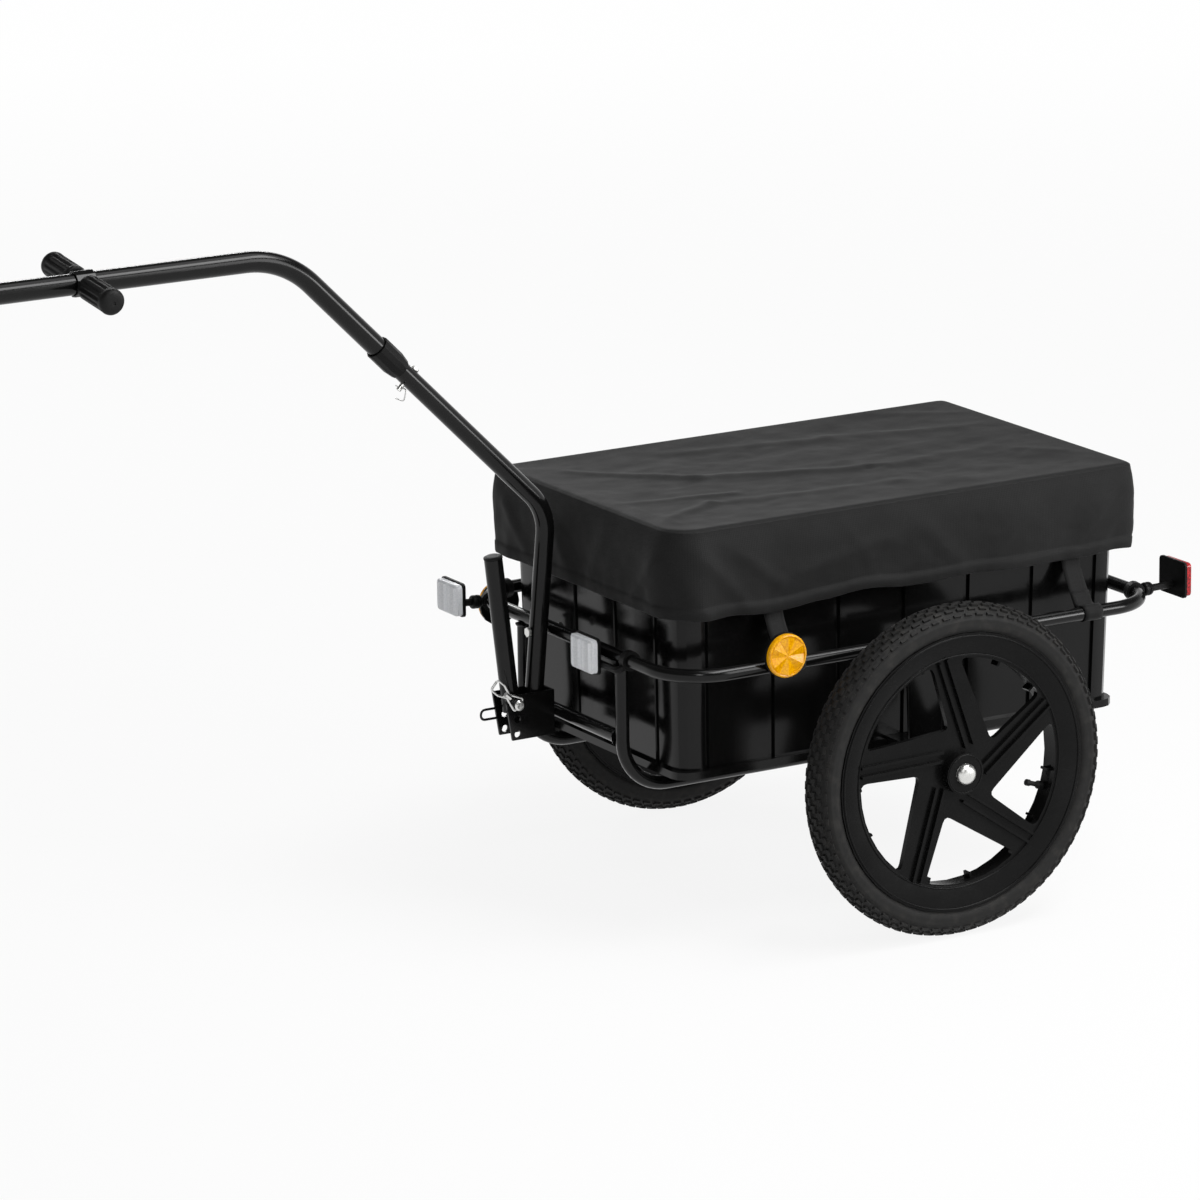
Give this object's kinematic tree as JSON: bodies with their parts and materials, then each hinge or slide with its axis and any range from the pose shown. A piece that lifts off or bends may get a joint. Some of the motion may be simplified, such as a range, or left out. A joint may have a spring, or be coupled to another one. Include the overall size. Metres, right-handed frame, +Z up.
{
  "type": "cargo bike trailer",
  "caption": "Bicycle cargo trailer: a moulded tub with a fabric cover on a tube frame, mag-style wheels, a tall bent drawbar, a parking leg and a seat-post hitch.",
  "frame": {"origin": "middle of the whole trailer's box, at the ground", "axes": "+X rearward along the trailer, +Y to its right-hand side, +Z up"},
  "size_m": [1.6388, 0.6886, 0.8411],
  "materials": {
    "paint": "gloss black powder coat",
    "moulding": "black injection moulding, fine grain",
    "steel": "bright zinc plate",
    "wire": "drawn spring wire",
    "tub": "black vacuum-formed sheet, semi-gloss",
    "cloth": "dark grey coated polyester weave",
    "webbing": "black nylon webbing",
    "tyre": "black rubber with a block tread",
    "rim": "black moulded nylon",
    "valve": "black rubber stem",
    "grip": "black fluted soft grip",
    "amber": "amber prismatic lens",
    "clear": "clear prismatic lens over silver",
    "red": "red prismatic lens"
  },
  "bodies": {
    "chassis": {"frame_loop": "paint", "front_crossbar": "paint", "axle_beam": "paint", "cradle_left": "paint", "axle_carrier_left": "paint", "stub_axle_left": "steel", "dome_nut_left": "steel", "strap_front_left": "webbing", "strap_rear_left": "webbing", "handle_grip_left": "grip", "cradle_right": "paint", "axle_carrier_right": "paint", "stub_axle_right": "steel", "dome_nut_right": "steel", "strap_front_right": "webbing", "strap_rear_right": "webbing", "handle_grip_right": "grip", "tub": "tub", "drawbar_bracket": "paint", "drawbar_lower": "paint", "drawbar_upper": "paint", "drawbar_collar": "moulding", "drawbar_pin": "steel", "drawbar_clip": "wire", "loop_bolt": "steel", "handle_bar": "paint", "hitch_tongue": "moulding", "pitch_bolt": "steel", "white_left_reflector_holder": "moulding", "white_left_reflector_lens": "clear", "white_right_reflector_holder": "moulding", "white_right_reflector_lens": "clear", "red_rear_reflector_holder": "moulding", "red_rear_reflector_lens": "red", "amber_left_reflector_holder": "moulding", "amber_left_reflector_lens": "amber", "amber_right_reflector_holder": "moulding", "amber_right_reflector_lens": "amber"},
    "wheel_left": {"tyre_left": "tyre", "wheel_left": "rim", "bearing_inner_left": "steel", "bearing_outer_left": "steel", "valve_left": "valve"},
    "wheel_right": {"tyre_right": "tyre", "wheel_right": "rim", "bearing_inner_right": "steel", "bearing_outer_right": "steel", "valve_right": "valve"},
    "leg": {"leg_tube": "paint", "leg_cap": "moulding"},
    "lock_pin": {"lock_pin": "steel"},
    "bail": {"lock_pin_bail": "wire"},
    "knuckle": {"hitch_knuckle": "paint"},
    "clamp": {"clamp_rear": "paint", "clamp_front": "paint", "clamp_bolt_left": "steel", "clamp_bolt_right": "steel", "king_pin": "steel"},
    "cover": {"cover": "cloth"}
  },
  "joints": [
    {"name": "wheel_left_spin", "type": "hinge", "parent": "chassis", "child": "wheel_left", "pos_m": [0.40607, -0.309, 0.198], "axis": [0, 1, 0], "continuous": true},
    {"name": "wheel_right_spin", "type": "hinge", "parent": "chassis", "child": "wheel_right", "pos_m": [0.40607, 0.309, 0.198], "axis": [0, 1, 0], "continuous": true},
    {"name": "leg_swing", "type": "hinge", "parent": "chassis", "child": "leg", "pos_m": [0.02177, 0.045, 0.255], "axis": [0, -1, 0], "range_deg": [0, 173]},
    {"name": "lock_pin_pull", "type": "slide", "parent": "chassis", "child": "lock_pin", "axis": [0, -1, 0], "range_m": [0, 0.06]},
    {"name": "bail_swing", "type": "hinge", "parent": "lock_pin", "child": "bail", "pos_m": [0.02177, 0.0247, 0.255], "axis": [0.6691, 0, 0.7431], "range_deg": [0, 100]},
    {"name": "hitch_pitch", "type": "hinge", "parent": "chassis", "child": "knuckle", "pos_m": [-0.71477, 0.045, 0.8165], "axis": [0, 1, 0], "range_deg": [-28, 28]},
    {"name": "hitch_yaw", "type": "hinge", "parent": "knuckle", "child": "clamp", "pos_m": [-0.74877, 0.045, 0.8165], "axis": [0, 0, 1], "range_deg": [-75, 75]},
    {"name": "cover_lift", "type": "slide", "parent": "chassis", "child": "cover", "axis": [0, 0, 1], "range_m": [0, 0.2]}
  ]
}
